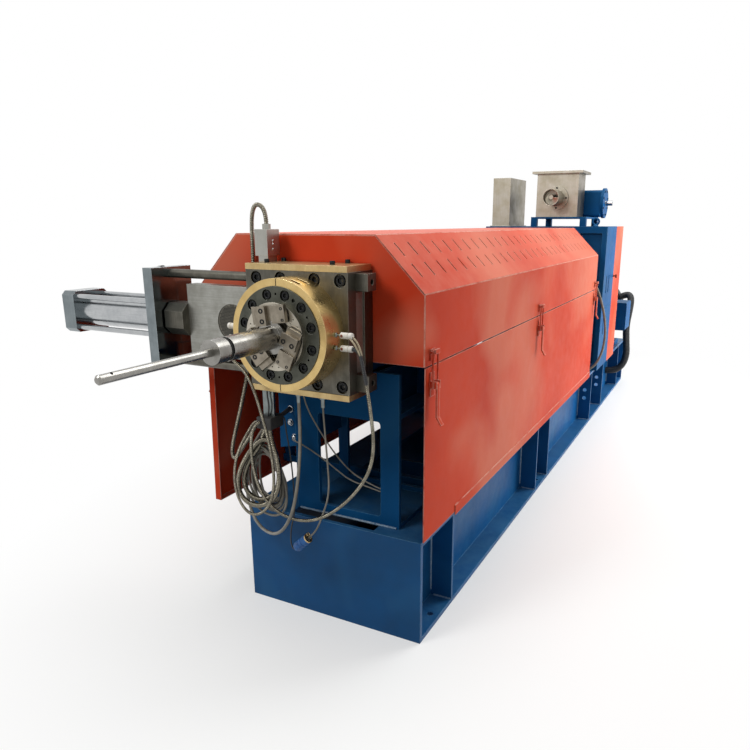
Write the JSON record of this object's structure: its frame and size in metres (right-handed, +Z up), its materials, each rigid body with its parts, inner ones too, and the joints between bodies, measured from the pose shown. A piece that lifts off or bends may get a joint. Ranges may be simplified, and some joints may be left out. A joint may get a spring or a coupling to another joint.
{
  "type": "plastic extruder",
  "caption": "Single-screw plastic extruder with sliding screen changer, die-face cutter, heated die head, folded sheet hood, side feeder and I-beam base.",
  "frame": {"origin": "on the floor, in the middle of the base's front plate, straight under the extrusion axis", "axes": "+X to the right seen from the die, +Y along the machine from the die to the drive, +Z up"},
  "size_m": [1.492, 5.18, 1.716],
  "materials": {
    "armour": "wound steel conduit",
    "black_paint": "satin black",
    "blue_paint": "semi-gloss blue enamel",
    "blue_plastic": "moulded plastic",
    "brass": "cast and turned brass",
    "bright_steel": "ground and plated",
    "cast_iron": "as cast",
    "ceramic": "unglazed ceramic",
    "dark_steel": "oiled die steel",
    "machined_steel": "milled and ground steel",
    "red_paint": "gloss orange-red enamel",
    "stainless": "cold-rolled stainless sheet"
  },
  "bodies": {
    "machine": {"barrel": "cast_iron", "barrel_heaters": "cast_iron", "barrel_stand": "blue_paint", "base_frame": "blue_paint", "base_stiffeners": "blue_paint", "block_heater_plates": "brass", "block_lead": "armour", "box_conduit": "armour", "cabinet_guard_panel": "red_paint", "cabinet_side_panel": "blue_paint", "cable_coil": "armour", "cover_brackets": "blue_paint", "cylinder_cap": "machined_steel", "cylinder_tie_rods": "bright_steel", "cylinder_tube": "bright_steel", "die_body": "dark_steel", "die_face": "machined_steel", "die_heater_ring": "brass", "feed_housing": "cast_iron", "feeder_box": "stainless", "feeder_motor": "blue_paint", "feeder_reducer": "blue_paint", "feeder_table": "blue_paint", "feeder_tube": "stainless", "gear_cabinet": "blue_paint", "guide_rods": "dark_steel", "held_leads": "armour", "hood_end_plates": "red_paint", "hood_panels": "red_paint", "latch_plates": "red_paint", "lead_glands": "dark_steel", "lead_plug": "blue_plastic", "left_lead": "armour", "left_lower_panel": "red_paint", "main_motor": "blue_paint", "motor_cowl": "black_paint", "motor_terminal_box": "blue_paint", "plug_lead": "armour", "right_lower_panel": "red_paint", "ring_lead": "armour", "ring_terminals": "ceramic", "rod_end_lugs": "dark_steel", "screen_changer_block": "dark_steel", "steel_chute": "stainless", "terminal_box": "machined_steel", "vent_panels": "red_paint", "yoke_plate": "machined_steel"},
    "screen_slide": {"slide_plate": "machined_steel", "breaker_plates": "machined_steel", "ram_coupling": "dark_steel", "ram": "bright_steel"},
    "cutter": {"cutter_hub": "bright_steel", "cutter_shaft": "bright_steel", "knife_arms": "machined_steel", "knife_clamps": "machined_steel"},
    "feed_screw": {"feeder_screw": "stainless"},
    "reducer_shaft": {"reducer_output_shaft": "bright_steel"},
    "latch_1": {"latch_lever_1": "red_paint"},
    "latch_2": {"latch_lever_2": "red_paint"},
    "latch_3": {"latch_lever_3": "red_paint"}
  },
  "joints": [
    {"name": "screen_shift", "type": "slide", "parent": "machine", "child": "screen_slide", "axis": [1, 0, 0], "range_m": [0, 0.285]},
    {"name": "cutter_spin", "type": "hinge", "parent": "machine", "child": "cutter", "pos_m": [0, -0.3, 1.06], "axis": [0, 1, 0], "continuous": true},
    {"name": "feed_screw_spin", "type": "hinge", "parent": "machine", "child": "feed_screw", "pos_m": [0.01, 3, 1.54], "axis": [0, 1, 0], "continuous": true},
    {"name": "reducer_spin", "type": "hinge", "parent": "machine", "child": "reducer_shaft", "pos_m": [0.25, 3.24, 1.51], "axis": [1, 0, 0], "continuous": true},
    {"name": "latch_swing_1", "type": "hinge", "parent": "machine", "child": "latch_1", "pos_m": [0.375, 0.04, 0.895], "axis": [0, -1, 0], "range_deg": [0, 150]},
    {"name": "latch_swing_2", "type": "hinge", "parent": "machine", "child": "latch_2", "pos_m": [0.375, 1.285, 0.895], "axis": [0, -1, 0], "range_deg": [0, 150]},
    {"name": "latch_swing_3", "type": "hinge", "parent": "machine", "child": "latch_3", "pos_m": [0.375, 2.64, 0.895], "axis": [0, -1, 0], "range_deg": [0, 150]}
  ]
}
